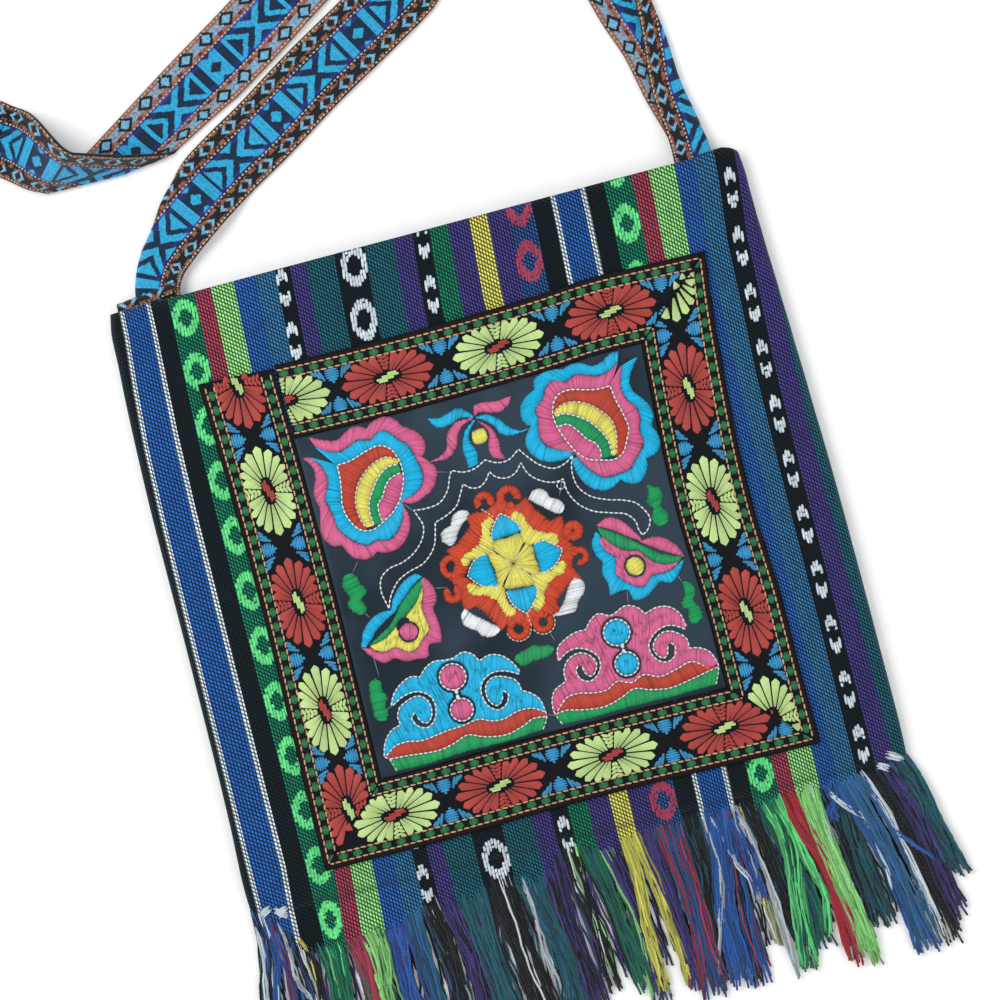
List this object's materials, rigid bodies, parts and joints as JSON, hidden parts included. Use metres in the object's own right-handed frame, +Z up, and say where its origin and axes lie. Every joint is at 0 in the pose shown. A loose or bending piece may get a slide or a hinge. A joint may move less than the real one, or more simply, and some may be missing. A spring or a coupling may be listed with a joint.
{
  "type": "embroidered crossbody bag",
  "caption": "Flat striped cloth crossbody bag with an embroidered satin panel in a ribbon frame, a thread fringe below and a woven strap, lying on its back with the strap laid out.",
  "frame": {"origin": "on the surface that the bag lies on, under the middle of the pouch's flat back", "axes": "+X to the right across the bag, +Y from the fringe to the mouth, +Z up out of the embroidered front"},
  "size_m": [0.3556, 0.5563, 0.0325],
  "materials": {
    "cloth": "coarse striped weave",
    "fringe_thread": "loose wavy thread",
    "strap_web": "jacquard webbing",
    "satin": "satin weave",
    "ribbon": "jacquard ribbon",
    "pink_thread": "satin stitch",
    "blue_thread": "satin stitch",
    "orange_thread": "satin stitch"
  },
  "bodies": {
    "root": {"pouch": "cloth", "fringe": "fringe_thread", "strap": "strap_web", "satin_panel": "satin", "ribbon_top": "ribbon", "ribbon_right": "ribbon", "ribbon_bottom": "ribbon", "ribbon_left": "ribbon", "peony_left": "pink_thread", "peony_right": "blue_thread", "bow": "pink_thread", "medallion": "orange_thread", "butterfly_left": "pink_thread", "butterfly_right": "blue_thread", "cloud_left": "blue_thread", "cloud_right": "pink_thread"}
  },
  "joints": []
}
